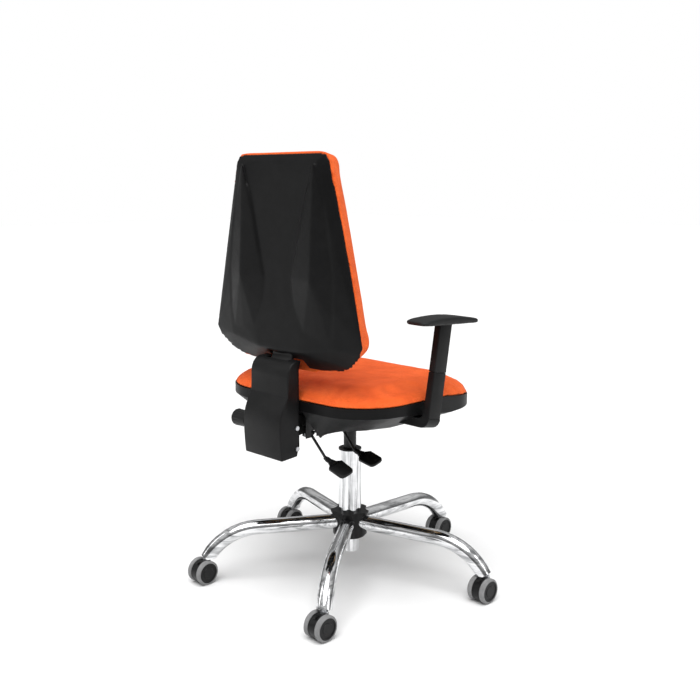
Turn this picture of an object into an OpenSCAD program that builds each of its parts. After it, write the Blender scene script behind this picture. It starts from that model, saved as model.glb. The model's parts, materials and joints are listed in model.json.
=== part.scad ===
// Swivel office chair: five-leg chromed base on twin-wheel casters, gas lift,
// under-seat mechanism, upholstered seat and back, height-adjustable armrests.
// Frame: Z up, floor at Z = 0, column on the Z axis, the chair faces -Y.

/* [View] */

// Sub-part to draw, or all of them

/* [Base] */

// Distance from the column axis to each caster stem
stem_circle_r = 320; // [280:1:340]
// Outside diameter of the bent leg tubes
leg_tube_d = 33; // [25:0.5:40]
// Height of the leg tube axis at the hub
leg_axis_z = 123; // [100:1:150]
// Radius of the bend near the end of each leg
leg_bend_r = 130; // [90:1:180]
// Wall of the leg tubes
leg_wall = 2; // [1:0.1:4]

/* [Casters] */

// Wheel diameter over the tyre
wheel_d = 53; // [40:0.5:75]
// Width over both wheels of a caster
caster_w = 43; // [36:0.5:60]
// Width of one tyre band
tyre_w = 11.6; // [8:0.1:16]
// Distance the axle trails behind the stem
trail = 10; // [5:0.5:30]
// Stem diameter
stem_d = 11; // [8:0.1:14]

/* [Gas lift] */

// Outside diameter of the lift's outer tube
lift_tube_d = 49.4; // [45:0.1:52]
// Outside diameter of the part below the hub
lift_foot_d = 42.6; // [38:0.1:46]
// Diameter of the sliding cylinder
lift_cyl_d = 28; // [26:0.1:30]
// Height of the top of the outer tube
lift_tube_top = 288; // [260:1:320]

/* [Seat] */

// Height of the joint line between cushion and under-shell
seat_line_z = 436.5; // [400:0.5:520]
// Height of the seat surface
seat_top_z = 467; // [430:1:560]
// Half width of the seat
seat_half_w = 238; // [210:1:260]
// Front edge of the seat, ahead of the column
seat_front = 195; // [170:1:260]
// Rear edge of the seat, behind the column
seat_rear = 197; // [180:1:240]
// Underside of the seat under-shell
shell_bottom_z = 352; // [330:1:380]

/* [Back] */

// Half width of the cover around the back upright
cover_half_w = 57.2; // [45:0.1:70]
// Width of the flat bar that carries the back
bar_w = 60; // [40:1:80]
// Thickness of the flat bar
bar_t = 6; // [4:0.5:10]

/* [Armrests] */

// Inner face of the armrest upright from the centre plane
arm_inner_x = 247; // [240:1:280]
// Thickness of the armrest upright
arm_t = 16; // [12:0.5:30]
// Width of the armrest upright
arm_w = 36; // [28:0.5:60]
// Forward lean of the armrest upright in degrees
arm_lean = 10; // [0:0.5:20]
// Length of the armrest pad
pad_len = 172; // [150:1:280]
// Width of the armrest pad
pad_w = 56; // [45:1:100]

/* [Hidden] */

$fn = 64;
eps = 0.01;
leg_r = leg_tube_d / 2;
bend_sweep = 58.5;
bend_start_r = 207;
bend_start_z = 118.5;
leg_slope = atan2(leg_axis_z - bend_start_z, bend_start_r);
wheel_r = wheel_d / 2;
rim_r = wheel_r - 4.6;
axle_z = wheel_r;
gap_half = caster_w / 2 - tyre_w;
stem_r = stem_d / 2;
lift_r = lift_tube_d / 2;
foot_r = lift_foot_d / 2;
cyl_r = lift_cyl_d / 2;

BLACK = [0.09, 0.09, 0.095];
CHROME = [0.8, 0.81, 0.83];
STEEL = [0.55, 0.56, 0.58];
ORANGE = [0.93, 0.38, 0.13];
GREY = [0.5, 0.5, 0.5];
PLY = [0.72, 0.56, 0.38];

// angle of leg i about the column, leg 1 points forward
function leg_a(i) = -90 + 72 * (i - 1);

// ---------- base ----------

// one leg along +X: a straight tube and a bend down to the caster
module leg_run(r, start = 0, sweep = bend_sweep) {
    translate([0, 0, leg_axis_z]) rotate([0, 90 + leg_slope, 0]) translate([0, 0, start])
        cylinder(h = bend_start_r / cos(leg_slope) - start, r = r);
    translate([bend_start_r, 0, bend_start_z]) rotate([90, 0, 0]) rotate([0, 0, -leg_slope])
        translate([0, -leg_bend_r, 0]) rotate([0, 0, 90 - sweep])
            rotate_extrude(angle = sweep) translate([leg_bend_r, 0]) circle(r = r - 0.12);
}

module base_frame() color(CHROME) difference() {
    union() {
        for (i = [1:5]) rotate([0, 0, leg_a(i)]) leg_run(leg_r, 25);
        translate([0, 0, 98]) cylinder(h = 44, r = 31);
    }
    for (i = [1:5]) rotate([0, 0, leg_a(i)]) leg_run(leg_r - leg_wall, 32, 44);
    translate([0, 0, 40]) cylinder(h = 140, r = foot_r + 0.02);
    for (i = [1:5]) rotate([0, 0, leg_a(i)]) {
        translate([stem_circle_r, 0, 20]) cylinder(h = 34.8, r = 42);
        translate([stem_circle_r, 0, 40]) cylinder(h = 29, r = stem_r + 0.05);
    }
}

module base_cover() color(BLACK) difference() {
    rotate_extrude() polygon([[0, 90], [34, 90], [38, 95], [38, 137], [43, 145], [43, 148.5],
        [0, 148.5]]);
    for (i = [1:5]) rotate([0, 0, leg_a(i) + 36]) translate([60, 0, 80])
        cylinder(h = 80, r = 26);
    for (i = [1:5]) rotate([0, 0, leg_a(i)]) translate([0, 0, leg_axis_z])
        rotate([0, 90 + leg_slope, 0]) cylinder(h = 80, r = leg_r + 0.06);
    translate([0, 0, 80]) cylinder(h = 62.05, r = 31.05);
    translate([0, 0, 80]) cylinder(h = 80, r = lift_r + 0.1);
}

// ---------- casters ----------

module caster_at(i) translate([stem_circle_r * cos(leg_a(i)), stem_circle_r * sin(leg_a(i)), 0])
    children();

module caster_pins() color(STEEL) {
    translate([0, 0, 36]) cylinder(h = 32, r = stem_r);
    translate([0, 0, 50.2]) cylinder(h = 4.4, r = 8);
    translate([0, trail, axle_z]) rotate([0, 90, 0]) cylinder(h = 33, r = 4, center = true);
}

// hood over both wheels, web between them and the boss that holds the stem
module caster_housing() color(BLACK) difference() {
    union() {
        translate([0, trail, axle_z]) rotate([0, -90, 0]) rotate([0, 0, -20])
            rotate_extrude(angle = 205) translate([20.3, -gap_half + 0.6])
                square([4.4, 2 * gap_half - 1.2]);
        translate([-3.4, trail, axle_z]) rotate([0, 90, 0]) cylinder(h = 6.8, r = 9);
        translate([-3.4, trail - 14, axle_z - 5]) cube([6.8, 28, 27]);
        translate([0, 0, 34]) cylinder(h = 16, r = 8.9);
        translate([-4, trail + 8, axle_z + 20]) cube([8, 9, 7.5]);
    }
    translate([0, 0, 35.98]) cylinder(h = 40, r = stem_r + 0.01);
    translate([0, 0, 50.1]) cylinder(h = 10, r = 30);
    translate([-20, trail, axle_z]) rotate([0, 90, 0]) cylinder(h = 40, r = 4.01);
}

module caster_wheels() color(BLACK) for (s = [-1, 1]) scale([s, 1, 1])
    translate([0, trail, axle_z]) rotate([0, 90, 0]) difference() {
        union() {
            translate([0, 0, 4.2]) cylinder(h = 16, r = 7);
            translate([0, 0, gap_half + 0.2]) cylinder(h = tyre_w - 0.8, r = rim_r);
        }
        translate([0, 0, 0]) cylinder(h = 16.8, r = 4.08);
        translate([0, 0, gap_half]) difference() {
            cylinder(h = tyre_w - 4.4, r = rim_r - 2.2);
            translate([0, 0, -1]) cylinder(h = 30, r = 7);
        }
        translate([0, 0, caster_w / 2 - 1.7]) difference() {
            cylinder(h = 5, r = rim_r - 3);
            translate([0, 0, -1]) cylinder(h = 6, r1 = 13, r2 = 9);
        }
    }

module caster_tyres() color(GREY) for (s = [-1, 1]) scale([s, 1, 1])
    translate([0, trail, axle_z]) rotate([0, 90, 0]) rotate_extrude()
        difference() {
            translate([rim_r, gap_half]) square([wheel_r - rim_r, tyre_w]);
            translate([wheel_r - 1.5, gap_half - eps]) polygon([[0, 0], [2, 0], [2, 2]]);
            translate([wheel_r - 2.6, caster_w / 2]) polygon([[0, 0.1], [3, 0.1], [3, -2.9]]);
        }

module caster_1_pins() caster_at(1) caster_pins();
module caster_2_pins() caster_at(2) caster_pins();
module caster_3_pins() caster_at(3) caster_pins();
module caster_4_pins() caster_at(4) caster_pins();
module caster_5_pins() caster_at(5) caster_pins();
module caster_1_housing() caster_at(1) caster_housing();
module caster_2_housing() caster_at(2) caster_housing();
module caster_3_housing() caster_at(3) caster_housing();
module caster_4_housing() caster_at(4) caster_housing();
module caster_5_housing() caster_at(5) caster_housing();
module caster_1_wheels() caster_at(1) caster_wheels();
module caster_2_wheels() caster_at(2) caster_wheels();
module caster_3_wheels() caster_at(3) caster_wheels();
module caster_4_wheels() caster_at(4) caster_wheels();
module caster_5_wheels() caster_at(5) caster_wheels();
module caster_1_tyres() caster_at(1) caster_tyres();
module caster_2_tyres() caster_at(2) caster_tyres();
module caster_3_tyres() caster_at(3) caster_tyres();
module caster_4_tyres() caster_at(4) caster_tyres();
module caster_5_tyres() caster_at(5) caster_tyres();

// ---------- gas lift ----------

module lift_tube() color(CHROME) difference() {
    union() {
        translate([0, 0, 57]) cylinder(h = 86, r = foot_r);
        translate([0, 0, 142.1]) cylinder(h = lift_tube_top - 142.1, r = lift_r);
    }
    translate([0, 0, 62]) cylinder(h = 90, r = foot_r - 2.2);
    translate([0, 0, 146]) cylinder(h = 200, r = lift_r - 1.8);
    translate([0, 0, 50]) cylinder(h = 20, r = 5.05);
}

module lift_bush() color(BLACK) difference() {
    union() {
        translate([0, 0, lift_tube_top - 60]) cylinder(h = 60, r = lift_r - 1.82);
        translate([0, 0, lift_tube_top]) cylinder(h = 3.2, r = lift_r + 0.6);
    }
    translate([0, 0, lift_tube_top - 70]) cylinder(h = 100, r = cyl_r + 0.05);
}

// thin rod held at the foot of the tube, with its thrust bearing and piston head
module lift_rod() color(STEEL) {
    translate([0, 0, 53]) cylinder(h = 217, r = 5);
    translate([0, 0, 54.5]) cylinder(h = 2.4, r = 9);
    translate([0, 0, 62.1]) cylinder(h = 6, r = 12);
    translate([0, 0, 262]) cylinder(h = 14, r = 10.9);
}

module lift_cylinder() color(BLACK) difference() {
    union() {
        translate([0, 0, 90]) cylinder(h = 270, r = cyl_r);
        translate([0, 0, 360]) cylinder(h = 34, r1 = cyl_r, r2 = cyl_r - 1.5);
        translate([0, 0, 394]) cylinder(h = 1.2, r = 4);
    }
    translate([0, 0, 92]) cylinder(h = 290, r = 11);
    translate([0, 0, 80]) cylinder(h = 20, r = 5.05);
}

// ---------- mechanism ----------

mech_top = 425;

module mechanism() color(BLACK) difference() {
    union() {
        // folded steel box, open below and at the rear
        difference() {
            translate([-46, -96, shell_bottom_z]) cube([92, 268, 69]);
            translate([-43, -93, shell_bottom_z - 1]) cube([86, 280, 67]);
        }
        // socket for the cylinder
        translate([0, 0, shell_bottom_z]) cylinder(h = 67, r = 20);
        // cross ribs that carry the lever shaft
        for (y = [36, 98, 160]) translate([-44, y, shell_bottom_z]) cube([19.5, 4, 22]);
    }
    translate([0, 0, 340]) cylinder(h = 20.02, r = cyl_r + 0.01);
    translate([0, 0, 360]) cylinder(h = 34, r1 = cyl_r + 0.01, r2 = cyl_r - 1.49);
    translate([0, 0, 393.9]) cylinder(h = 24, r = 9);
    // slot in the socket's top for the release arm
    translate([-30, -8, 394]) cube([30, 16, 11]);
    // notches where the lever rods leave the box
    for (y = [62, 150]) translate([-50, y - 8, 340]) cube([10, 16, 26]);
    translate([-34, 20, 358]) rotate([-90, 0, 0]) cylinder(h = 160, r = 3.01);
    translate([-60, 116, 376]) rotate([0, 90, 0]) cylinder(h = 120, r = 6.01);
}

module seat_plate() color(BLACK) difference() {
    translate([-108, -90, mech_top - 4]) cube([216, 240, 4]);
    translate([0, 0, 400]) cylinder(h = 30, r = 12);
    for (x = [-90, 90], y = [-70, 120]) translate([x, y, 400]) cylinder(h = 30, r = 4.02);
}

// shaft along Y on which both levers turn
module lever_shaft() color(STEEL)
    translate([-34, 34, 358]) rotate([-90, 0, 0]) cylinder(h = 132, r = 3);

// bent lever: hub on the shaft, then a round rod down and out to the right
module lever_rod(y, px, pz, droop) {
    difference() {
        union() {
            translate([-34, y - 7, 358]) rotate([-90, 0, 0]) cylinder(h = 14, r = 5.4);
            translate([-34, y, 358]) rotate([0, -atan2(-34 - px, pz - 358), 0])
                cylinder(h = norm([34 + px, 358 - pz]), r = 2.9);
            translate([px, y - 3.3, pz]) rotate([-90, 0, 0]) cylinder(h = 6.6, r = 3.3);
            translate([px, y, pz]) rotate([0, -90 - droop, 0]) cylinder(h = 30, r = 2.86);
        }
        translate([-34, y - 10, 358]) rotate([-90, 0, 0]) cylinder(h = 20, r = 3.06);
    }
}

module height_lever() color(BLACK) {
    lever_rod(62, -76, 312, 12);
    // release arm from the hub to the valve pin
    difference() {
        union() {
            translate([-36, 56, 358]) cube([5, 12, 44]);
            translate([-36, -4, 399.5]) cube([38, 8, 3]);
            translate([-36, -4, 399.5]) cube([5, 72, 3]);
        }
        translate([-34, 40, 358]) rotate([-90, 0, 0]) cylinder(h = 40, r = 3.06);
    }
}

module tilt_lever() color(BLACK) {
    lever_rod(150, -80, 314, 18);
}

// flat grip on a lever rod, turned about its own axis by roll
module paddle(y, px, pz, droop, roll) translate([px, y, pz]) rotate([0, -droop, 0])
    rotate([roll, 0, 0]) difference() {
        union() {
            translate([0, 0, -3.2]) linear_extrude(6.4) polygon([[-14, -6.5], [-14, 6.5],
                [-22, 8.5], [-29, 17], [-33, 18], [-62, 17], [-67, 14], [-69, 7], [-69, -7],
                [-67, -14], [-62, -17], [-33, -18], [-29, -17], [-22, -8.5]]);
            translate([-20, 0, 0]) rotate([0, 90, 0]) cylinder(h = 16, r = 5.6);
        }
        translate([-30.05, 0, 0]) rotate([0, 90, 0]) cylinder(h = 40, r = 2.9);
    }

module height_paddle() color(BLACK) paddle(62, -76, 312, 12, -18);
module tilt_paddle() color(BLACK) paddle(150, -80, 314, 18, -18);

module recline_pin() color(STEEL)
    translate([-52, 116, 376]) rotate([0, 90, 0]) cylinder(h = 104, r = 6);

module recline_spring() color(GREY) translate([-15, 116, 376]) rotate([0, 90, 0])
    difference() {
        cylinder(h = 30, r = 13);
        translate([0, 0, -1]) cylinder(h = 32, r = 6.05);
    }

// ---------- back carrier ----------

module slab(pts, half) translate([-half, 0, 0]) rotate([90, 0, 90])
    linear_extrude(2 * half) polygon(pts);

// two steel side arms and the plate that joins them behind the seat
module back_link() color(BLACK) difference() {
    union() {
        for (s = [-1, 1]) scale([s, 1, 1]) {
            translate([17, 0, 0]) rotate([90, 0, 90]) linear_extrude(5) union() {
                polygon([[116, 362], [190, 352], [212, 352], [212, 398], [190, 398], [116, 390]]);
                translate([116, 376]) circle(r = 14);
            }
        }
        slab([[206, 334], [212, 334], [212, 398], [204, 398], [204, 340]], 53.5);
    }
    translate([-60, 116, 376]) rotate([0, 90, 0]) cylinder(h = 120, r = 6.06);
    for (s = [-1, 1], z = [340, 383]) translate([s * 44, 207.5, z]) rotate([0, s * 90, 0])
        cylinder(h = 12, r = 2.52);
}

// flat bar, fixed to the link, stepped forward into the back
module back_bar() color(STEEL) slab([[212.02, 356], [212.02 + bar_t, 356],
    [212.02 + bar_t, 486], [188 + bar_t, 522], [188 + bar_t, 740], [188, 740], [188, 520],
    [212.02, 484]], bar_w / 2);

cover_profile = [[201, 500], [201, 345], [206, 324], [248, 321], [250.2, 344], [251.6, 366],
    [252, 386], [251, 400], [248, 414], [242, 429], [230.6, 447], [230, 450], [230, 486],
    [228.6, 498], [224.5, 507], [218, 514], [209, 518.6], [196.4, 519]];
cover_core = [[198, 500], [198, 347], [209, 327], [245.2, 324], [247.3, 345], [248.7, 367],
    [249, 386], [248, 399], [245.1, 413], [239.2, 427.6], [227.7, 446], [227, 450],
    [227, 486], [225.6, 497], [221.8, 505], [215.8, 511.4], [208, 515.8], [190, 516.2],
    [190, 500]];

module upright_cover() color(BLACK) difference() {
    slab(cover_profile, cover_half_w);
    slab(cover_core, cover_half_w - 2.8);
    // the front is open to the link and the bar
    translate([-38, 190, 318]) cube([76, 20, 84]);
    translate([40, 235, 385]) rotate([0, 90, 0]) cylinder(h = 30, r = 8.3);
    translate([-32, 180, 470]) cube([64, 30, 76]);
    for (s = [-1, 1], z = [340, 383]) translate([s * 50, 207.5, z]) rotate([0, s * 90, 0])
        cylinder(h = 12, r = 2.52);
}

module cover_screws() color(STEEL) for (s = [-1, 1], z = [340, 383])
    translate([s * 57.2, 207.5, z]) rotate([0, s * 90, 0]) {
        cylinder(h = 2.6, r = 4.6);
        translate([0, 0, -10]) cylinder(h = 10.5, r = 2.5);
    }

// hand knob on the left of the cover
module tension_knob() color(BLACK) translate([0, 235, 385]) rotate([0, 90, 0]) difference() {
    union() {
        translate([0, 0, 44]) cylinder(h = 16, r = 8.2);
        translate([0, 0, 58]) cylinder(h = 38, r1 = 16.2, r2 = 17.6);
        translate([0, 0, 96]) cylinder(h = 6, r1 = 17.6, r2 = 13);
    }
    for (a = [0:30:330]) rotate([0, 0, a]) translate([19.6, 0, 70]) cylinder(h = 60, r = 3.2);
}

// channel on the back panel that runs on the flat bar
module back_guide() color(STEEL) difference() {
    translate([-bar_w / 2 - 3.1, 183.1, 560]) cube([bar_w + 6.2, 13.1, 130]);
    translate([-bar_w / 2 - 0.1, 187.9, 550]) cube([bar_w + 0.2, bar_t + 0.2, 150]);
    translate([-bar_w / 2 + 8, 190, 550]) cube([bar_w - 16, 20, 150]);
}

// ---------- back ----------

rim = [[108, 190, 925], [128, 191, 921], [138, 191, 908], [159, 188, 823], [173, 186, 763],
    [187, 184.5, 700], [204, 184.5, 620], [215, 186, 583], [221, 187, 562], [215, 186, 546],
    [198, 181, 530], [180, 177, 516], [150, 172.5, 505], [110, 172, 500], [0, 173, 498]];
face = [[110, 199, 908], [119, 200, 889], [144, 201, 790], [158, 200, 699], [159, 200, 620],
    [155, 198, 552], [60, 206, 537], [0, 205, 533]];

module dots(pts) for (p = pts, s = [-1, 1]) translate([s * p[0], p[1], p[2]])
    cube(0.2, center = true);

module shell_body() hull() {
    dots(rim);
    dots(face);
}

// raised wing on one side, sharp along its ridge and fading out at the bottom
module wing(s, d = 0) hull() for (p = [[104, 205, 908], [118, 199, 889], [142, 200, 790],
        [157, 199, 699], [155, 199, 600], [70, 203, 560], [48, 204, 620], [44, 205.6, 684],
        [72, 205, 797], [105, 216, 680], [104, 209, 622], [112, 203, 572], [150, 197, 553]])
    translate([s * p[0], p[1] - d, p[2]]) cube(0.2, center = true);

module shell_void() hull() for (p = [[100, 196, 905], [132, 197, 790], [146, 196, 699],
        [146, 196, 600], [140, 194, 560], [0, 200, 545], [0, 196, 912],
        [128, 160, 912], [152, 160, 820], [182, 160, 700], [208, 160, 583], [212, 160, 563],
        [190, 160, 538], [110, 160, 511], [0, 160, 508]], s = [-1, 1])
    translate([s * p[0], p[1], p[2]]) cube(0.2, center = true);

module back_shell() color(BLACK) difference() {
    union() {
        shell_body();
        wing(-1);
        wing(1);
    }
    shell_void();
    // slot for the upright cover
    translate([-cover_half_w - 0.8, 150, 480]) cube([2 * cover_half_w + 1.6, 90, 39.8]);
    // passage for the flat bar
    translate([-bar_w / 2 - 1.2, 150, 500]) cube([bar_w + 2.4, 50, 48]);
}

function inset_rim(d, e) = [for (p = rim) [max(p[0] - d, 0), p[2] + (p[2] > 600 ? -e : e)]];

// outline of the back moved in by d at the sides and by e above and below
module back_outline(d, e) {
    pts = inset_rim(d, e);
    polygon(concat(pts, [for (i = [len(pts) - 1:-1:0]) [-pts[i][0], pts[i][1]]]));
}

module back_slice(y, t, d, e) translate([0, y + t, 0]) rotate([90, 0, 0]) linear_extrude(t)
    back_outline(d, e);

module back_cushion() color(ORANGE) difference() {
    hull() {
        back_slice(164, 26, -1.5, -4.5);
        back_slice(153, 2, 3, 1);
        back_slice(142, 1, 17, 15);
        translate([-110, 135, 600]) cube([220, 1, 110]);
    }
    hull() {
        dots(rim);
        dots([for (p = face) [p[0] + 60, 215, p[2] + (p[2] > 700 ? 60 : -60)]]);
    }
    back_slice(173.8, 30, 16, 16);
}

module back_panel() color(PLY) intersection() {
    back_slice(174, 9, 16.3, 16.3);
    shell_void();
}

// ---------- seat ----------

seat_line = [[-400, seat_line_z - 44.6], [-45, seat_line_z], [400, seat_line_z]];

module above_line(d) slab(concat([for (p = seat_line) [p[0], p[1] + d]], [[400, 700], [-400, 700]]), 400);

// seat outline seen from above; f and r move the front and rear edges inward
module seat_outline(d, f = 0, r = 0) hull() for (s = [-1, 1]) {
    translate([s * (seat_half_w - 6 - 118), -seat_front + 118 + f]) circle(r = 118 - d, $fn = 48);
    translate([s * (seat_half_w - 90), -20]) circle(r = 90 - d, $fn = 48);
    translate([s * (seat_half_w - 4 - 120), seat_rear - 122 - r]) circle(r = 120 - d, $fn = 48);
    translate([s * 60, seat_rear - 60 - r]) circle(r = 60 - d, $fn = 48);
}

module seat_cushion() color(ORANGE) intersection() {
    hull() {
        translate([0, 0, 405]) linear_extrude(38) seat_outline(0);
        translate([0, 0, 451]) linear_extrude(1) seat_outline(4, 14);
        translate([0, 0, 461]) linear_extrude(1) seat_outline(14, 38);
        translate([0, 0, seat_top_z - 1]) linear_extrude(1) seat_outline(34, 70);
    }
    above_line(0);
}

module seat_pan() color(PLY) difference() {
    intersection() {
        translate([0, 0, 380]) linear_extrude(80) seat_outline(16);
        difference() {
            above_line(-11.5);
            above_line(-0.4);
        }
    }
    // recesses that seat the steel plate and the mechanism's front and rear ends
    translate([-108.5, -90.5, 380]) cube([217, 241, mech_top + 0.15 - 380]);
    translate([-46.5, -96.5, 380]) cube([93, 269, mech_top - 3.8 - 380]);
    for (x = [-90, 90], y = [-70, 120]) translate([x, y, 400]) cylinder(h = 60, r = 4.02);
    for (s = [-1, 1], y = [18, 39]) translate([s * 135, y, 400]) cylinder(h = 60, r = 4.02);
}

module foot_outline(d) polygon([[-104 + d, -118 + d], [104 - d, -118 + d], [104 - d, 84 - d * 0.4],
    [62 - d * 0.4, 146 - d], [-62 + d * 0.4, 146 - d], [-104 + d, 84 - d * 0.4]]);

module shell_hull(d) hull() {
    translate([0, 0, seat_line_z - 20 + d]) linear_extrude(24) seat_outline(1 + d);
    translate([0, 0, seat_line_z - 36 + d]) linear_extrude(1) intersection() {
        seat_outline(1 + d);
        translate([-400, -400]) square([800, 340]);
    }
    translate([0, 0, shell_bottom_z + (d > 0 ? -4 : 0)]) linear_extrude(1) foot_outline(d);
}

module seat_shell() color(BLACK) difference() {
    shell_hull(0);
    shell_hull(2.8);
    above_line(-0.2);
    // mouth around the mechanism, levers and back link
    translate([-58, -104, 330]) cube([116, 400, 60]);
    translate([-58, 100, 330]) cube([116, 200, 82]);
    // windows for the armrest brackets
    for (s = [-1, 1]) translate([s * 200, 28.5, 395]) rotate([arm_lean, 0, 0])
        cube([160, arm_w + 1.6, 19.6], center = true);
}

module seat_bolts() color(STEEL) {
    for (x = [-90, 90], y = [-70, 120]) translate([x, y, 0]) {
        translate([0, 0, mech_top - 9.6]) cylinder(h = 5.6, r = 6.5, $fn = 6);
        translate([0, 0, mech_top - 5]) cylinder(h = 12, r = 4);
    }
    for (s = [-1, 1], y = [18, 39]) translate([s * 135, y, 0]) {
        translate([0, 0, 386.4]) cylinder(h = 5.6, r = 6.5, $fn = 6);
        translate([0, 0, 391]) cylinder(h = 43, r = 4);
    }
}

// ---------- armrests ----------

module arm_frame(s) scale([s, 1, 1]) translate([0, 28.5, 395]) rotate([arm_lean, 0, 0]) children();

arm_outer_x = arm_inner_x + arm_t;
arm_split = 104;

// L-shaped bracket drawn for the +X side
module arm_bracket() difference() {
    translate([0, arm_w / 2, 0]) rotate([90, 0, 0]) linear_extrude(arm_w) {
        difference() {
            union() {
                translate([115, -9]) square([arm_outer_x - 20 - 115, 18]);
                translate([arm_inner_x, 19]) square([arm_t, arm_split - 19]);
                translate([arm_outer_x - 20, 11]) intersection() {
                    circle(r = 20);
                    translate([0, -20]) square([20, 28]);
                }
                translate([arm_inner_x, 10]) square([arm_t, 12]);
                translate([arm_inner_x - 12, 0]) square([12, 19]);
            }
            translate([arm_inner_x - 12, 21]) circle(r = 12);
            translate([arm_inner_x - 24, 9]) square([12, 14]);
        }
    }
    // pocket for the flat bar
    translate([arm_inner_x + 3.98, -12.02, 24]) cube([8.04, 24.04, 100]);
}

module arm_bar() translate([arm_inner_x + 4, -12, 24.1]) cube([8, 24, 162]);

module arm_shroud() difference() {
    translate([arm_inner_x, -arm_w / 2, arm_split + 0.3])
        cube([arm_t, arm_w, 208 - arm_split - 0.3]);
    translate([arm_inner_x + 3.8, -12.2, 90]) cube([8.4, 24.4, 98.5]);
    // hole for the release button
    translate([arm_inner_x + 4.4, -arm_w / 2 - 1, arm_split + 4]) cube([7.2, 6.6, 16]);
}

module arm_button() translate([arm_inner_x + 4.5, -arm_w / 2 - 2.6, arm_split + 4.1])
    cube([7, 5.6, 15.8]);

module pad_plan(d) {
    w = pad_w / 2 - d;
    l = pad_len / 2 - d;
    square([2 * w, 2 * l - 28], center = true);
    square([2 * w - 28, 2 * l], center = true);
    for (sx = [-1, 1], sy = [-1, 1]) translate([sx * (w - 14), sy * (l - 14)]) circle(r = 14);
}

// soft pad with an arched top on a thin carrier
module pad_frame() translate([arm_inner_x + 14, 3, 594.4]) rotate([3, 0, 0]) children();

module arm_pad() pad_frame() difference() {
    intersection() {
        translate([0, 0, -2]) linear_extrude(30) pad_plan(0);
        translate([-60, 0, 0]) rotate([90, 0, 90]) linear_extrude(120) intersection() {
            translate([0, -480 + 16.2]) circle(r = 480, $fn = 200);
            translate([-100, 0]) square([200, 40]);
        }
    }
    translate([-100, -200, -29.5]) cube([200, 400, 30]);
}

// bracket with the upright bosses that are bolted under the seat pan
module arm_full(s) difference() {
    union() {
        arm_frame(s) arm_bracket();
        for (y = [18, 39]) translate([s * 135, y, 396]) cylinder(h = 28.8, r = 8);
    }
    for (y = [18, 39]) translate([s * 135, y, 370]) {
        cylinder(h = 60, r = 4.02);
        cylinder(h = 22, r = 8);
    }
}

module arm_r_bracket() color(BLACK) arm_full(-1);
module arm_l_bracket() color(BLACK) arm_full(1);
module arm_r_bar() color(STEEL) arm_frame(-1) arm_bar();
module arm_l_bar() color(STEEL) arm_frame(1) arm_bar();
// sleeve cut off along the underside of the pad
module arm_sleeve(s) difference() {
    arm_frame(s) arm_shroud();
    scale([s, 1, 1]) pad_frame() translate([-100, -200, 0.46]) cube([200, 400, 60]);
}

module arm_r_shroud() color(BLACK) arm_sleeve(-1);
module arm_l_shroud() color(BLACK) arm_sleeve(1);
module arm_r_button() color(BLACK) arm_frame(-1) arm_button();
module arm_l_button() color(BLACK) arm_frame(1) arm_button();
module arm_r_pad() color(BLACK) scale([-1, 1, 1]) arm_pad();
module arm_l_pad() color(BLACK) arm_pad();

// ---------- assembly ----------

base_frame();
base_cover();
lift_tube();
lift_bush();
lift_rod();
lift_cylinder();
caster_1_pins();
caster_1_housing();
caster_1_wheels();
caster_1_tyres();
caster_2_pins();
caster_2_housing();
caster_2_wheels();
caster_2_tyres();
caster_3_pins();
caster_3_housing();
caster_3_wheels();
caster_3_tyres();
caster_4_pins();
caster_4_housing();
caster_4_wheels();
caster_4_tyres();
caster_5_pins();
caster_5_housing();
caster_5_wheels();
caster_5_tyres();
mechanism();
seat_plate();
lever_shaft();
height_lever();
height_paddle();
tilt_lever();
tilt_paddle();
recline_pin();
recline_spring();
back_link();
back_bar();
upright_cover();
cover_screws();
tension_knob();
back_guide();
back_panel();
back_shell();
back_cushion();
seat_pan();
seat_shell();
seat_cushion();
seat_bolts();
arm_r_bracket();
arm_r_bar();
arm_r_shroud();
arm_r_pad();
arm_r_button();
arm_l_bracket();
arm_l_bar();
arm_l_shroud();
arm_l_pad();
arm_l_button();
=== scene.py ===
import json
import math

import bmesh
import bpy
import numpy as np
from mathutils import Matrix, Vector


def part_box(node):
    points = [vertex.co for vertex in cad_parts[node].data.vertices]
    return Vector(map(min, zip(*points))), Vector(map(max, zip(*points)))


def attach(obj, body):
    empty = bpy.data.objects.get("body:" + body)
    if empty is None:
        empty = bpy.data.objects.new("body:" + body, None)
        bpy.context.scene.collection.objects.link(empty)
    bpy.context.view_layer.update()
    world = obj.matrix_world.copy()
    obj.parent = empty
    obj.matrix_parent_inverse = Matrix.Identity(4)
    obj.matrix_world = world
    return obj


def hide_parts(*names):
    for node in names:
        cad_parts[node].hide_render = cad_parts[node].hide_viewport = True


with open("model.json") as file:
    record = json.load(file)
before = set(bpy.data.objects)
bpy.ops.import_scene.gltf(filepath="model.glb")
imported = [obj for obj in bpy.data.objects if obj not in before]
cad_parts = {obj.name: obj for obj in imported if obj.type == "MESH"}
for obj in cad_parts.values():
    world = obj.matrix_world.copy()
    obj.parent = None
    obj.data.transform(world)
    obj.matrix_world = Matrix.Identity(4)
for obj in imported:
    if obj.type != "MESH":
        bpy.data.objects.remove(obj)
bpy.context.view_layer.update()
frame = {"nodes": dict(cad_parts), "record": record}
NODES = frame["nodes"]
BODY = {n: b for b, ns in frame["record"]["behaviour"]["bodies"].items() for n in ns}
scene = bpy.context.scene


# ---------------------------------------------------------------- node maths

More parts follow.
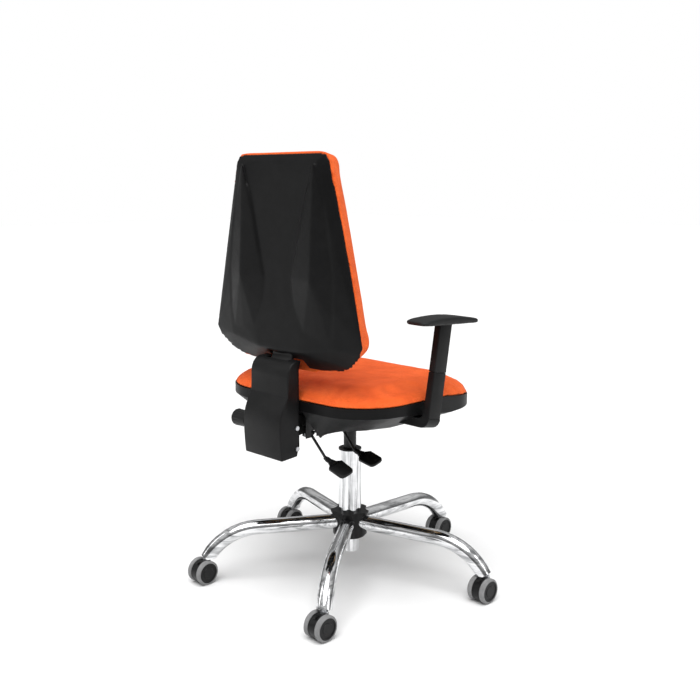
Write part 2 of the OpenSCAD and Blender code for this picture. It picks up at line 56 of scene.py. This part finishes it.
class Val:
    """A socket in a node tree that can be used in sums."""

    def __init__(self, tree, socket):
        self.tree, self.socket = tree, socket

    def _math(self, op, *others, clamp=False):
        n = self.tree.nodes.new("ShaderNodeMath")
        n.operation = op
        n.use_clamp = clamp
        for i, x in enumerate((self, *others)):
            if isinstance(x, Val):
                self.tree.links.new(x.socket, n.inputs[i])
            else:
                n.inputs[i].default_value = float(x)
        return Val(self.tree, n.outputs[0])

    def __add__(self, o): return self._math("ADD", o)
    def __sub__(self, o): return self._math("SUBTRACT", o)
    def __mul__(self, o): return self._math("MULTIPLY", o)
    def __truediv__(self, o): return self._math("DIVIDE", o)
    def sin(self): return self._math("SINE")
    def abs(self): return self._math("ABSOLUTE")
    def power(self, o): return self._math("POWER", o)
    def clamp(self): return self._math("ADD", 0.0, clamp=True)
    def root(self): return self._math("SQRT")
    def angle(self, o): return self._math("ARCTAN2", o)

    def ramp(self, a, b, lo=0.0, hi=1.0):
        n = self.tree.nodes.new("ShaderNodeMapRange")
        n.interpolation_type = "SMOOTHSTEP"
        self.tree.links.new(self.socket, n.inputs["Value"])
        for key, x in (("From Min", a), ("From Max", b), ("To Min", lo), ("To Max", hi)):
            n.inputs[key].default_value = x
        return Val(self.tree, n.outputs[0])


class Shader:
    """A material with a Principled shader and procedural inputs in object coordinates."""

    def __init__(self, name, **fixed):
        self.mat = bpy.data.materials.new(name)
        self.mat.use_nodes = True
        self.t = self.mat.node_tree
        self.bsdf = self.t.nodes["Principled BSDF"]
        for key, value in fixed.items():
            self.bsdf.inputs[key.replace("_", " ")].default_value = value
        self.coord = self.t.nodes.new("ShaderNodeTexCoord")
        self.height = None

    def place(self, scale=(1, 1, 1), turn=(0, 0, 0)):
        m = self.t.nodes.new("ShaderNodeMapping")
        m.inputs["Scale"].default_value = scale
        m.inputs["Rotation"].default_value = turn
        self.t.links.new(self.coord.outputs["Object"], m.inputs["Vector"])
        return m.outputs[0]

    def noise(self, scale, detail=3.0, rough=0.55, distort=0.0, stretch=(1, 1, 1)):
        n = self.t.nodes.new("ShaderNodeTexNoise")
        n.inputs["Scale"].default_value = scale
        n.inputs["Detail"].default_value = detail
        n.inputs["Roughness"].default_value = rough
        n.inputs["Distortion"].default_value = distort
        self.t.links.new(self.place(stretch), n.inputs["Vector"])
        return Val(self.t, n.outputs["Fac"])

    def noise_at(self, u, v, w, detail=3.0, rough=0.55, distort=0.0):
        """Noise over three sums, for grain that follows a part instead of the axes."""
        join = self.t.nodes.new("ShaderNodeCombineXYZ")
        for i, x in enumerate((u, v, w)):
            self.t.links.new(x.socket, join.inputs[i])
        n = self.t.nodes.new("ShaderNodeTexNoise")
        n.inputs["Scale"].default_value = 1.0
        n.inputs["Detail"].default_value = detail
        n.inputs["Roughness"].default_value = rough
        n.inputs["Distortion"].default_value = distort
        self.t.links.new(join.outputs[0], n.inputs["Vector"])
        return Val(self.t, n.outputs["Fac"])

    def cells(self, scale, feature="F1", stretch=(1, 1, 1)):
        n = self.t.nodes.new("ShaderNodeTexVoronoi")
        n.feature = feature
        n.inputs["Scale"].default_value = scale
        self.t.links.new(self.place(stretch), n.inputs["Vector"])
        return Val(self.t, n.outputs["Distance"])

    def xyz(self, output="Object"):
        n = self.t.nodes.new("ShaderNodeSeparateXYZ")
        self.t.links.new(self.coord.outputs[output], n.inputs[0])
        return [Val(self.t, o) for o in n.outputs]

    def colour(self, fac, stops):
        n = self.t.nodes.new("ShaderNodeValToRGB")
        e = n.color_ramp.elements
        while len(e) < len(stops):
            e.new(0.5)
        for item, (pos, rgb) in zip(e, stops):
            item.position = pos
            item.color = (*rgb, 1)
        self.t.links.new(fac.socket, n.inputs[0])
        return n.outputs[0]

    def mix(self, fac, a, b, kind="MIX"):
        n = self.t.nodes.new("ShaderNodeMix")
        n.data_type = "RGBA"
        n.blend_type = kind
        for sock, x in ((n.inputs[0], fac), (n.inputs[6], a), (n.inputs[7], b)):
            if isinstance(x, Val):
                self.t.links.new(x.socket, sock)
            elif isinstance(x, bpy.types.NodeSocket):
                self.t.links.new(x, sock)
            elif isinstance(x, (tuple, list)):
                sock.default_value = (*x, 1)
            else:
                sock.default_value = x
        return n.outputs[2]

    def base(self, socket):
        self.t.links.new(socket, self.bsdf.inputs["Base Color"])

    def rough(self, value):
        self.t.links.new(value.socket, self.bsdf.inputs["Roughness"])

    def bump(self, value, distance, strength=1.0):
        b = self.t.nodes.new("ShaderNodeBump")
        b.inputs["Distance"].default_value = distance
        b.inputs["Strength"].default_value = strength
        self.t.links.new(value.socket, b.inputs["Height"])
        if self.height is not None:
            self.t.links.new(self.height, b.inputs["Normal"])
        self.height = b.outputs[0]
        self.t.links.new(self.height, self.bsdf.inputs["Normal"])

    def weave(self, pitch):
        """Plain weave height, 0 to 1, laid flat on whichever side the surface faces."""
        x, y, z = self.xyz()
        nx, ny, nz = [v.abs().power(6.0) for v in self.xyz("Normal")]
        k = math.pi / pitch

        def flat(u, v):
            su, sv = (u * k).sin(), (v * k).sin()
            over = (su * sv).ramp(-0.25, 0.25)
            return su.abs() * over + sv.abs() * (over * -1.0 + 1.0)

        total = nx + ny + nz + 1e-4
        return (flat(y, z) * nx + flat(x, z) * ny + flat(x, y) * nz) / total


def fabric(name="orange_fabric"):
    s = Shader(name, Specular_IOR_Level=0.25, Sheen_Weight=0.10, Sheen_Roughness=0.45,
               Sheen_Tint=(1.0, 0.62, 0.40, 1))
    thread = s.weave(0.0011)
    fleck = s.noise(620, 2.0, 0.7)
    cloud = s.noise(26, 3.0, 0.5)
    slub = s.noise(140, 2.0, 0.6, stretch=(1, 0.22, 1))
    tone = (fleck * 0.55 + slub * 0.12 + cloud * 0.33).ramp(0.34, 0.66)
    yarn = s.colour(tone, [(0.0, (0.68, 0.086, 0.012)), (0.5, (0.86, 0.124, 0.018)),
                           (1.0, (0.95, 0.160, 0.028))])
    gap = thread.ramp(0.0, 0.42)
    s.base(s.mix(gap, (0.40, 0.045, 0.008), yarn))
    s.rough(tone * -0.10 + 0.86)
    s.bump(thread, 0.00032, 0.75)
    s.bump(fleck, 0.00022, 0.5)
    s.bump(cloud, 0.0004, 0.35)
    return s.mat


def plastic(name, rgb, rough=0.42, grain=1500.0, depth=0.00006, level=0.28, worn=0.25):
    s = Shader(name, Specular_IOR_Level=level, IOR=1.5)
    fine = s.cells(grain)
    cloud = s.noise(38, 4.0, 0.6)
    speck = s.noise(900, 2.0, 0.6)
    rub = s.noise(9, 5.0, 0.62, 0.6)
    tone = (cloud * 0.6 + speck * 0.4).ramp(0.3, 0.7)
    dark = tuple(c * 0.80 for c in rgb)
    light = tuple(c * 1.22 + 0.0006 for c in rgb)
    s.base(s.colour(tone, [(0.0, dark), (1.0, light)]))
    s.rough((rub.ramp(0.35, 0.7) * worn * 0.35 + fine * 0.10 + rough - 0.06).clamp())
    s.bump(fine, depth, 0.6)
    s.bump(cloud, depth * 2.5, 0.3)
    return s.mat


def chrome(name, along):
    """Chromed tube with painted reflection streaks in its base colour, running out along the legs or up the
    column.
    """
    s = Shader(name, Metallic=1.0)
    x, y, z = s.xyz()
    out, turn = (x * x + y * y + 1e-8).root(), y.angle(x)
    # painted reflection streaks: noise stretched out along the legs, or up the column
    if along == "legs":
        painted_reflection_streak = s.noise_at(out * 9.0, turn * 22.0, z * 95.0, 4.0, 0.6, 0.8)
    else:
        painted_reflection_streak = s.noise_at(out * 4.0, turn * 3.2, z * 5.0, 4.0, 0.62, 0.3)
    # this haze noise varies the roughness and also feeds the painted reflection streaks in the base colour
    haze_and_painted_reflection = s.noise(34, 5.0, 0.6, 0.8)
    # the base colour is painted reflection: light and dark streaks that stand in for what the chrome
    # mirrors
    s.base(s.colour(painted_reflection_streak * 0.8 + haze_and_painted_reflection * 0.2, [(0.36, (0.34, 0.345, 0.35)), (0.45, (0.58, 0.585, 0.595)),
                                                (0.53, (0.82, 0.825, 0.835)), (0.64, (0.95, 0.953, 0.96))]))
    s.rough((haze_and_painted_reflection.ramp(0.4, 0.8) * 0.05 + 0.07).clamp())
    s.bump(s.noise(14, 2.0, 0.4), 0.0009, 0.32)
    return s.mat


def steel(name, rgb, rough=0.30, turned=(1, 1, 12)):
    s = Shader(name, Metallic=1.0)
    lines = s.noise(420, 3.0, 0.6, 0.0, turned)
    cloud = s.noise(45, 4.0, 0.6)
    dark = tuple(c * 0.8 for c in rgb)
    s.base(s.colour(lines * 0.6 + cloud * 0.4, [(0.35, dark), (0.65, rgb)]))
    s.rough((lines * 0.16 + cloud * 0.08 + rough - 0.10).clamp())
    s.bump(lines, 0.00004, 0.5)
    return s.mat


def powder_coat(name, rgb, rough=0.46):
    s = Shader(name, Specular_IOR_Level=0.35)
    peel = s.noise(420, 3.0, 0.55)
    cloud = s.noise(30, 4.0, 0.6)
    s.base(s.colour(cloud, [(0.3, tuple(c * 0.8 for c in rgb)), (0.7, tuple(c * 1.25 for c in rgb))]))
    s.rough((peel * 0.14 + rough - 0.07).clamp())
    s.bump(peel, 0.00018, 0.5)
    return s.mat


def tread(name, rgb):
    s = Shader(name, Specular_IOR_Level=0.3)
    dust = s.noise(70, 5.0, 0.65, 0.3)
    fine = s.noise(1400, 2.0, 0.6)
    scuff = s.noise(240, 4.0, 0.7, 0.5, (1, 0.35, 0.35))
    s.base(s.colour(dust * 0.55 + scuff * 0.45, [(0.30, tuple(c * 0.72 for c in rgb)), (0.52, rgb),
                                                (0.75, tuple(min(c * 1.25, 1) for c in rgb))]))
    s.rough((dust * 0.2 + 0.52).clamp())
    s.bump(fine, 0.00010, 0.6)
    s.bump(scuff, 0.00016, 0.4)
    return s.mat


def soft_pad(name, rgb):
    s = Shader(name, Specular_IOR_Level=0.3)
    pore = s.cells(950)
    crease = s.noise(130, 5.0, 0.65, 1.2)
    cloud = s.noise(24, 3.0, 0.5)
    s.base(s.colour(cloud * 0.5 + crease * 0.5, [(0.3, tuple(c * 0.8 for c in rgb)),
                                                (0.7, tuple(c * 1.3 for c in rgb))]))
    s.rough((crease * 0.16 + pore * 0.08 + 0.44).clamp())
    s.bump(pore, 0.00014, 0.6)
    s.bump(crease, 0.00022, 0.45)
    return s.mat


def plywood(name):
    s = Shader(name, Specular_IOR_Level=0.25)
    rings = s.noise(30, 5.0, 0.6, 2.2, (1, 0.12, 6))
    pores = s.noise(700, 2.0, 0.6, 0.0, (1, 0.06, 1))
    s.base(s.colour(rings * 0.75 + pores * 0.25, [(0.30, (0.36, 0.20, 0.09)), (0.55, (0.58, 0.39, 0.21)),
                                                 (0.75, (0.70, 0.52, 0.31))]))
    s.rough((pores * 0.2 + 0.55).clamp())
    s.bump(pores, 0.0002, 0.5)
    return s.mat


MAT = {
    "leg_chrome": chrome("chromed_legs", "legs"),
    "column_chrome": chrome("chromed_column", "column"),
    "bright": steel("bright_steel", (0.62, 0.63, 0.65)),
    "black_steel": powder_coat("black_powder_coat", (0.006, 0.006, 0.0063)),
    "shell": plastic("shell_plastic", (0.0036, 0.0036, 0.0038), 0.40, 1300, 0.00007, 0.13),
    "cover": plastic("cover_plastic", (0.0052, 0.0052, 0.0054), 0.42, 1500, 0.00006, 0.18),
    "hard": plastic("hard_black_plastic", (0.0050, 0.0050, 0.0052), 0.36, 1800, 0.00004, 0.22),
    "hood": plastic("caster_plastic", (0.0050, 0.0050, 0.0052), 0.34, 1800, 0.00004, 0.22),
    "disc": plastic("wheel_plastic", (0.0075, 0.0075, 0.0078), 0.40, 1800, 0.00005, 0.24),
    "tread": tread("grey_tread", (0.215, 0.215, 0.217)),
    "rubber": tread("grey_rubber", (0.10, 0.10, 0.10)),
    "pad": soft_pad("armrest_foam", (0.0062, 0.0062, 0.0065)),
    "ply": plywood("birch_plywood"),
    "fabric": fabric(),
}


def look_of(node):
    if node in ("base_frame", "lift_tube"):
        return "leg_chrome" if node == "base_frame" else "column_chrome"
    if node.startswith("caster_"):
        return {"pins": "bright", "housing": "hood", "wheels": "disc", "tyres": "tread"}[node.split("_")[2]]
    if node in ("lift_rod", "lever_shaft", "recline_pin", "cover_screws", "seat_bolts", "back_guide",
                "arm_r_bar", "arm_l_bar"):
        return "bright"
    if node in ("lift_cylinder", "mechanism", "seat_plate", "height_lever", "tilt_lever", "back_link",
                "back_bar"):
        return "black_steel"
    if node == "recline_spring":
        return "rubber"
    if node in ("seat_pan", "back_panel"):
        return "ply"
    if node in ("back_shell", "seat_shell"):
        return "shell"
    if node in ("seat_cushion", "back_cushion"):
        return "fabric"
    if node.endswith("_pad"):
        return "pad"
    if node in ("base_cover", "lift_bush", "tension_knob", "height_paddle", "tilt_paddle"):
        return "hard"
    return "cover"


def dress(obj, look):
    obj.data.materials.clear()
    obj.data.materials.append(MAT[look])


for name, obj in NODES.items():
    dress(obj, look_of(name))


# ---------------------------------------------------------------- mesh tools

def new_object(name, mesh, look):
    obj = bpy.data.objects.new(name, mesh)
    scene.collection.objects.link(obj)
    dress(obj, look)
    return obj


def finish_piece(obj, *nodes):
    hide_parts(*nodes)
    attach(obj, BODY[nodes[0]])
    return obj


def clean_copy(node, weld=2e-5, flat=1.0):
    """The node's mesh as a new bmesh, welded, with coplanar triangles joined into faces."""
    bm = bmesh.new()
    bm.from_mesh(NODES[node].data)
    bmesh.ops.remove_doubles(bm, verts=bm.verts, dist=weld)
    bmesh.ops.dissolve_limit(bm, angle_limit=math.radians(flat), verts=bm.verts, edges=bm.edges,
                             delimit=set())
    bm.normal_update()
    return bm


def smooth_by_angle(mesh, angle):
    """Smooth shading, with creases kept where faces meet at more than the angle in degrees."""
    bm = bmesh.new()
    bm.from_mesh(mesh)
    limit = math.radians(angle)
    for f in bm.faces:
        f.smooth = True
    for e in bm.edges:
        e.smooth = not (len(e.link_faces) != 2 or e.calc_face_angle(0.0) > limit)
    bm.to_mesh(mesh)
    bm.free()


def rounded(node, width, angle=28.0, segments=3, shortest=0.005):
    """A copy of a CAD node whose long sharp edges are rounded off."""
    bm = clean_copy(node)
    limit = math.radians(angle)
    edges = [e for e in bm.edges if len(e.link_faces) == 2 and e.calc_length() > shortest
             and e.calc_face_angle(0.0) > limit and e.is_convex]
    bmesh.ops.bevel(bm, geom=edges, offset=width, offset_type="OFFSET", segments=segments,
                    profile=0.5, affect="EDGES", clamp_overlap=False, miter_outer="ARC",
                    miter_inner="SHARP")
    bmesh.ops.remove_doubles(bm, verts=bm.verts, dist=1e-5)
    mesh = bpy.data.meshes.new(node + "_rounded")
    bm.to_mesh(mesh)
    bm.free()
    smooth_by_angle(mesh, 32)
    obj = new_object(node + "_rounded", mesh, look_of(node))
    return finish_piece(obj, node)


def apply_modifiers(obj):
    deps = bpy.context.evaluated_depsgraph_get()
    mesh = bpy.data.meshes.new_from_object(obj.evaluated_get(deps))
    old = obj.data
    obj.modifiers.clear()
    obj.data = mesh
    bpy.data.meshes.remove(old)


def coords(mesh):
    co = np.zeros(len(mesh.vertices) * 3)
    mesh.vertices.foreach_get("co", co)
    return co.reshape(-1, 3)


def put_coords(mesh, co):
    mesh.vertices.foreach_set("co", np.ascontiguousarray(co, dtype=np.float32).reshape(-1))
    mesh.update()


def neighbours_mean(mesh, co, keep=None, times=1, factor=0.5):
    """Laplacian smoothing of the points, with keep (0 to 1 per point) saying how freely each moves."""
    edges = np.zeros(len(mesh.edges) * 2, dtype=np.int64)
    mesh.edges.foreach_get("vertices", edges)
    a, b = edges.reshape(-1, 2).T
    count = np.bincount(a, minlength=len(co)) + np.bincount(b, minlength=len(co))
    w = np.ones(len(co)) if keep is None else keep
    for _ in range(times):
        total = np.zeros_like(co)
        np.add.at(total, a, co[b])
        np.add.at(total, b, co[a])
        co = co + (total / np.maximum(count, 1)[:, None] - co) * (factor * w)[:, None]
    return co


def remeshed(node, name, voxel, look):
    mesh = NODES[node].data.copy()
    obj = new_object(name, mesh, look)
    bm = bmesh.new()
    bm.from_mesh(mesh)
    bmesh.ops.remove_doubles(bm, verts=bm.verts, dist=2e-5)
    bm.to_mesh(mesh)
    bm.free()
    m = obj.modifiers.new("remesh", "REMESH")
    m.mode = "VOXEL"
    m.voxel_size = voxel
    m.adaptivity = 0.0
    apply_modifiers(obj)
    dress(obj, look)
    return obj


def shade(obj):
    obj.data.shade_smooth()
    return obj


# ---------------------------------------------------------------- cushions

CLOTH_FRAMES = 20


def cushion(node, name, voxel, pinned, start, cap, pressure, after):
    """A stuffed cover: the CAD solid, inflated as cloth with its hidden side held, then capped."""
    obj = remeshed(node, name, voxel, "fabric")
    mesh = obj.data
    co = coords(mesh)
    normals = np.zeros(len(mesh.vertices) * 3)
    mesh.vertices.foreach_get("normal", normals)
    normals = normals.reshape(-1, 3)
    hold = pinned(co, normals)
    rest = neighbours_mean(mesh, co, 1.0 - hold, 5, 0.5)
    rest = rest - normals * (start * (1.0 - hold))[:, None]
    put_coords(mesh, rest)
    group = obj.vertex_groups.new(name="pin")
    for i, w in enumerate(hold):
        if w > 0.01:
            group.add([i], float(min(1.0, w)), "REPLACE")
    cloth = obj.modifiers.new("cloth", "CLOTH")
    c = cloth.settings
    c.quality = 6
    c.mass = 0.3
    c.tension_stiffness = 12
    c.compression_stiffness = 12
    c.shear_stiffness = 8
    c.bending_stiffness = 1.2
    c.use_pressure = True
    c.uniform_pressure_force = pressure
    c.vertex_group_mass = "pin"
    c.effector_weights.gravity = 0
    cloth.collision_settings.use_collision = False
    cloth.point_cache.frame_start = 1
    cloth.point_cache.frame_end = CLOTH_FRAMES
    for f in range(1, CLOTH_FRAMES + 1):
        scene.frame_set(f)
    deps = bpy.context.evaluated_depsgraph_get()
    blown = obj.evaluated_get(deps).to_mesh()
    full = coords(blown)
    obj.evaluated_get(deps).to_mesh_clear()
    obj.modifiers.clear()
    obj.vertex_groups.clear()
    scene.frame_set(1)
    move = full - rest
    size = np.linalg.norm(move, axis=1)
    limit = cap * np.tanh(size / cap)
    move = move * (limit / np.maximum(size, 1e-9))[:, None]
    out = rest + move
    out = neighbours_mean(mesh, out, 1.0 - hold * 0.8, 4, 0.5)
    out = after(out, co)
    put_coords(mesh, out)
    sub = obj.modifiers.new("subdivision", "SUBSURF")
    sub.levels = 1
    sub.render_levels = 1
    apply_modifiers(obj)
    dress(obj, "fabric")
    shade(obj)
    finish_piece(obj, node)
    return obj


def smoothstep(t):
    t = np.clip(t, 0.0, 1.0)
    return t * t * (3 - 2 * t)


seat_lo, seat_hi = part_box("seat_cushion")
back_lo, back_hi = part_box("back_cushion")


def seat_hold(co, n):
    return smoothstep((-n[:, 2] - 0.25) / 0.45)


def seat_after(out, co):
    # the pad dips a little where it is sat on, and stays inside the shell's joint line
    x, y = out[:, 0], out[:, 1]
    dish = np.exp(-((x / 0.13) ** 2 + ((y + 0.02) / 0.13) ** 2))
    top = smoothstep((out[:, 2] - (seat_hi.z - 0.016)) / 0.014)
    out[:, 2] -= 0.0045 * dish * top
    # fine pulls in the cover around the edge
    ang = np.arctan2(y, x)
    rim = np.exp(-((out[:, 2] - (seat_hi.z - 0.020)) / 0.008) ** 2)
    ripple = 0.00035 * np.sin(ang * 31 + 1.7 * np.sin(ang * 5)) * rim
    r = np.maximum(np.hypot(x, y), 1e-6)
    out[:, 0] += ripple * x / r
    out[:, 1] += ripple * y / r
    out[:, 2] = np.minimum(out[:, 2], seat_hi.z + 0.006)
    return out


def back_hold(co, n):
    return smoothstep((n[:, 1] - 0.20) / 0.45)


def back_after(out, co):
    x, z = out[:, 0], out[:, 2]
    front = smoothstep((back_lo.y + 0.030 - out[:, 1]) / 0.020)
    # sides come forward a little around the person, the middle stays flatter
    out[:, 1] += 0.0030 * front * np.exp(-(x / 0.05) ** 2)
    out[:, 1] = np.maximum(out[:, 1], back_lo.y - 0.006)
    # the cover is pulled tight round the lower corners, where the shell hides it from behind
    low = smoothstep((back_lo.z + 0.085 - z) / 0.050)
    corner = low * smoothstep((np.abs(x) - 0.090) / 0.040)
    out[:, 0] -= 0.0045 * corner * np.sign(x)
    out[:, 2] += 0.0050 * corner
    return out


cushion("seat_cushion", "seat_cushion_cover", 0.005, seat_hold, 0.0035, 0.0065, 4.0, seat_after)
cushion("back_cushion", "back_cushion_cover", 0.005, back_hold, 0.0030, 0.0065, 4.0, back_after)


# ---------------------------------------------------------------- arm pads

for side in "rl":
    node = f"arm_{side}_pad"
    pad = remeshed(node, node + "_foam", 0.0022, "pad")
    co = coords(pad.data)
    put_coords(pad.data, neighbours_mean(pad.data, co, None, 14, 0.5))
    shade(pad)
    finish_piece(pad, node)


# ---------------------------------------------------------------- shells

shell_lo, shell_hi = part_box("back_shell")
shell = remeshed("back_shell", "back_shell_moulded", 0.0022, "shell")
co = coords(shell.data)
co = neighbours_mean(shell.data, co, None, 2, 0.5)
free = smoothstep((co[:, 1] - (shell_hi.y - 0.0225)) / 0.005)
put_coords(shell.data, neighbours_mean(shell.data, co, free, 4, 0.5))
shade(shell)
finish_piece(shell, "back_shell")


def creased(node, angle):
    """A copy of a CAD node with soft facets smoothed in the shading and its real edges kept."""
    bm = clean_copy(node)
    mesh = bpy.data.meshes.new(node + "_moulded")
    bm.to_mesh(mesh)
    bm.free()
    smooth_by_angle(mesh, angle)
    return finish_piece(new_object(node + "_moulded", mesh, look_of(node)), node)


creased("seat_shell", 24)

for node, width in (("upright_cover", 0.0028), ("height_paddle", 0.0016), ("tilt_paddle", 0.0016),
                    ("arm_r_bracket", 0.0016), ("arm_l_bracket", 0.0016), ("arm_r_shroud", 0.0016),
                    ("arm_l_shroud", 0.0016), ("arm_r_button", 0.0008), ("arm_l_button", 0.0008),
                    ("back_bar", 0.0010), ("mechanism", 0.0012)):
    rounded(node, width)


# ---------------------------------------------------------------- stage

def stage_floor():
    mesh = bpy.data.meshes.new("floor")
    bm = bmesh.new()
    bmesh.ops.create_grid(bm, x_segments=24, y_segments=24, size=16.0)
    bm.to_mesh(mesh)
    bm.free()
    obj = bpy.data.objects.new("floor", mesh)
    scene.collection.objects.link(obj)
    s = Shader("floor_paint", Roughness=0.62, Specular_IOR_Level=0.12)
    s.base(s.colour(s.noise(1.5, 2.0), [(0.3, (0.835, 0.835, 0.836)), (0.7, (0.85, 0.85, 0.851))]))
    obj.data.materials.append(s.mat)


stage_floor()

world = bpy.data.worlds.new("studio")
scene.world = world
world.use_nodes = True
wt = world.node_tree
bg = wt.nodes["Background"]
wc = wt.nodes.new("ShaderNodeTexCoord")
wsep = wt.nodes.new("ShaderNodeSeparateXYZ")
wt.links.new(wc.outputs["Generated"], wsep.inputs[0])
up = Val(wt, wsep.outputs[2])
wramp = wt.nodes.new("ShaderNodeValToRGB")
els = wramp.color_ramp.elements
for pos, g in ((0.0, 0.42), (0.05, 0.32), (0.14, 0.16), (0.26, 0.20), (0.42, 0.42), (0.60, 0.58),
               (1.0, 0.66)):
    e = els.new(pos) if pos not in (0.0, 1.0) else els[0 if pos == 0.0 else -1]
    e.position = pos
    e.color = (g, g, g, 1)
wt.links.new(up.clamp().socket, wramp.inputs[0])
path = wt.nodes.new("ShaderNodeLightPath")
plain = wt.nodes.new("ShaderNodeMix")
plain.data_type = "RGBA"
wt.links.new(path.outputs["Is Camera Ray"], plain.inputs[0])
wt.links.new(wramp.outputs[0], plain.inputs[6])
plain.inputs[7].default_value = (1.0, 1.0, 1.0, 1)
wt.links.new(plain.outputs[2], bg.inputs[0])
bg.inputs[1].default_value = 1.0


def area(name, where, at, size, watts):
    data = bpy.data.lights.new(name, "AREA")
    data.shape = "RECTANGLE"
    data.size, data.size_y = size
    data.energy = watts
    obj = bpy.data.objects.new(name, data)
    scene.collection.objects.link(obj)
    obj.location = where
    obj.rotation_euler = (Vector(at) - Vector(where)).to_track_quat("-Z", "Y").to_euler()
    return obj


def sun(name, where, strength, spread):
    data = bpy.data.lights.new(name, "SUN")
    data.energy = strength
    data.angle = math.radians(spread)
    obj = bpy.data.objects.new(name, data)
    scene.collection.objects.link(obj)
    obj.rotation_euler = (-Vector(where)).to_track_quat("-Z", "Y").to_euler()
    return obj


sun("sky", (-0.25, 0.35, 1.0), 2.9, 50)
area("left", (1.9, 2.2, 1.7), (0, 0, 0.6), (0.7, 2.0), 8)
area("right", (-2.6, -0.4, 1.5), (0, 0, 0.5), (1.0, 1.8), 10)

cam_data = bpy.data.cameras.new("camera")
cam = bpy.data.objects.new("camera", cam_data)
scene.collection.objects.link(cam)
cam_data.sensor_width = cam_data.sensor_height = 36
cam_data.sensor_fit = "HORIZONTAL"
cam_data.angle = math.radians(40)
cam.location = (-1.45236, 1.45236, 0.87238)
cam.rotation_euler = (Vector((0, 0, 0.509)) - cam.location).to_track_quat("-Z", "Y").to_euler()
scene.camera = cam
scene.view_settings.view_transform = "Standard"
scene.view_settings.look = "None"
